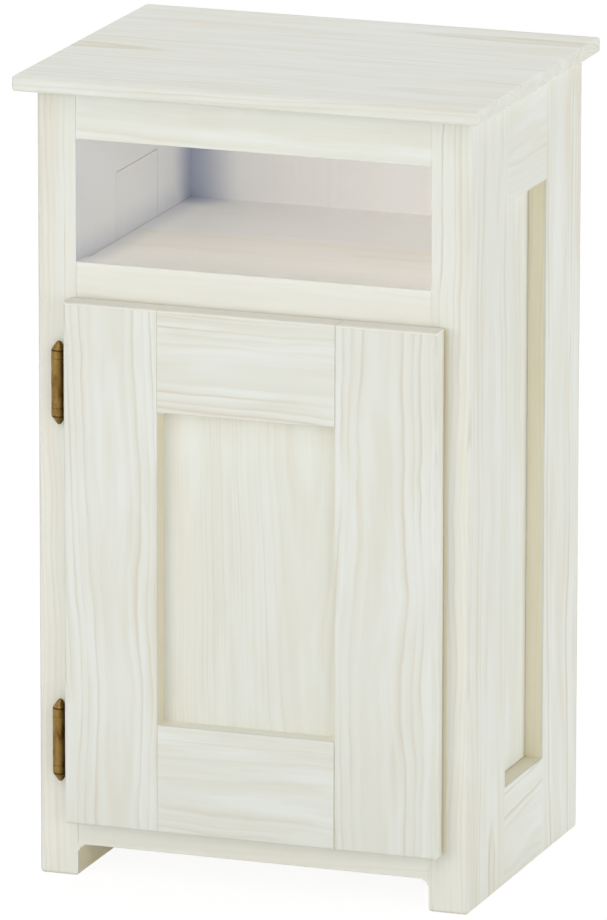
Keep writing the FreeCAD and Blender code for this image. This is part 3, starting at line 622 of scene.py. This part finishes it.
# Stage, light and camera
def make_floor():
    """A pale floor that looks white to the camera and still takes the object's shadow."""
    half = FLOOR_SIZE / 2
    mesh = bpy.data.meshes.new("floor")
    corners = [(-half, -half, 0), (half, -half, 0), (half, half, 0), (-half, half, 0)]
    mesh.from_pydata(corners, [], [(0, 1, 2, 3)])
    floor = bpy.data.objects.new("floor", mesh)
    bpy.context.scene.collection.objects.link(floor)
    material, tree, shader = new_material("pale_floor")
    shader.inputs["Base Color"].default_value = FLOOR_WHITE
    shader.inputs["Roughness"].default_value = FLOOR_ROUGHNESS
    shader.inputs["Specular IOR Level"].default_value = 0.0
    glow = add_node(tree, "ShaderNodeEmission")
    glow.inputs["Strength"].default_value = FLOOR_GLOW
    share = maths(tree, "MULTIPLY", seen_directly(tree), FLOOR_GLOW_SHARE)
    blended(tree, share, shader.outputs["BSDF"], glow.outputs["Emission"], "Material Output")
    mesh.materials.append(material)


def make_sky():
    """A dim sky that looks white to the camera."""
    world = bpy.data.worlds.new("studio")
    world.use_nodes = True
    tree = world.node_tree
    lit = tree.nodes["Background"]
    lit.inputs["Strength"].default_value = SKY_STRENGTH
    lit.inputs["Color"].default_value = SKY_COLOUR
    white = add_node(tree, "ShaderNodeBackground")
    white.inputs["Strength"].default_value = 1.0
    white.inputs["Color"].default_value = SKY_WHITE
    blended(tree, seen_directly(tree), lit.outputs["Background"], white.outputs["Background"], "World Output")
    bpy.context.scene.world = world


def direction(azimuth, elevation):
    """The way from the object to something at that azimuth, 0 in front of the door and 90 to its right."""
    level = math.cos(elevation)
    return Vector((math.sin(azimuth) * level, -math.cos(azimuth) * level, math.sin(elevation)))


def make_lamp(name, azimuth, elevation, distance, size, level, colour):
    """A soft round lamp that lights a face turned to it at the given share of its written colour."""
    data = bpy.data.lights.new(name, "AREA")
    data.shape = "DISK"
    data.size = size
    data.energy = level * (math.pi * distance) ** 2
    data.color = colour
    lamp = bpy.data.objects.new(name, data)
    way = direction(math.radians(azimuth), math.radians(elevation))
    lamp.location = LAMP_TARGET + way * distance
    lamp.rotation_euler = way.to_track_quat("Z", "Y").to_euler()
    bpy.context.scene.collection.objects.link(lamp)


def make_camera():
    back = direction(CAMERA_AZIMUTH, CAMERA_ELEVATION)
    data = bpy.data.cameras.new("camera")
    data.sensor_width = SENSOR_WIDTH
    data.lens = FOCAL_PIXELS * SENSOR_WIDTH / max(IMAGE_WIDTH, IMAGE_HEIGHT)
    data.clip_end = CAMERA_SIGHT
    camera = bpy.data.objects.new("camera", data)
    turn = back.to_track_quat("Z", "Y").to_matrix().to_4x4() @ Matrix.Rotation(CAMERA_ROLL, 4, "Z")
    camera.matrix_world = Matrix.Translation(CAMERA_TARGET + back * CAMERA_DISTANCE) @ turn
    bpy.context.scene.collection.objects.link(camera)
    bpy.context.scene.camera = camera


random.seed(RANDOM_SEED)
PINE_RINGS = pine_group()
DIM_CORNERS = corner_group()
INSIDE_SPACE = space_group("inside_space", [(inside_space(), 1.0, 0)])
# Painted shade: sheltered faces are tinted warmer and darker. Painted light: shaded places are made paler
RECESSES = [side_recess("left"), side_recess("right"), leg_recess(), door_opening(-SKIN), door_gap()]
SHELTERED_SHADE = space_group("sheltered", [(box, 1.0, 0) for box in RECESSES])
PAINTED_LIGHT = space_group("painted_light", [
    (side_recess("left"), RECESS_LIGHT, 0),
    (side_recess("right"), RECESS_LIGHT, 0),
    (leg_recess(), FULL_LIGHT, 0),
    (door_opening(SKIN), FULL_LIGHT, 0),
    (door_ledge(), FULL_LIGHT, 0),
    (post_front("left"), LEFT_POST_LIGHT, POST_FADE),
    (post_front("right"), RIGHT_POST_LIGHT, POST_FADE),
    (rail_front("front_middle_rail"), RAIL_LIGHT, 0),
    (rail_front("front_bottom_rail"), RAIL_LIGHT, 0),
])
dress_boards()
dress_hardware()
make_floor()
make_sky()
for name, facts in LAMPS.items():
    make_lamp(name, **facts)
make_camera()
bpy.context.scene.view_settings.view_transform = "Standard"
bpy.context.scene.cycles.max_bounces = LIGHT_BOUNCES
bpy.context.scene.cycles.diffuse_bounces = LIGHT_BOUNCES
